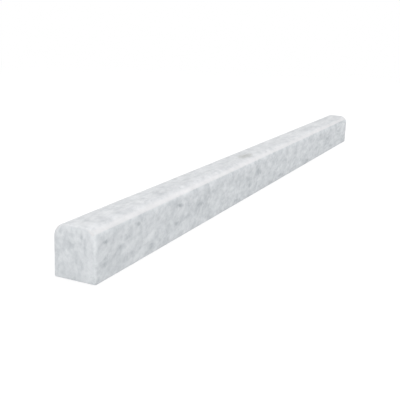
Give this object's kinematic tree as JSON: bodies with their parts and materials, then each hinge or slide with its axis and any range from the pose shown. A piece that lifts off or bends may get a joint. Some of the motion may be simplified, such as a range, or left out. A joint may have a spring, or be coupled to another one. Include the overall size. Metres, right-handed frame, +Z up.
{
  "type": "pencil liner tile",
  "caption": "Slim solid marble trim bar with a flat back, straight sides and a face rounded along both long edges, set as a border between wall tiles.",
  "frame": {"origin": "middle of the flat back, which lies on the floor", "axes": "+X along the bar, +Y across its face, +Z up from the back to the rounded face"},
  "size_m": [0.305, 0.015, 0.0172],
  "materials": {
    "marble": "honed white-grey marble, mottled, with a sawn back"
  },
  "bodies": {
    "root": {"pencil_liner": "marble"}
  },
  "joints": []
}
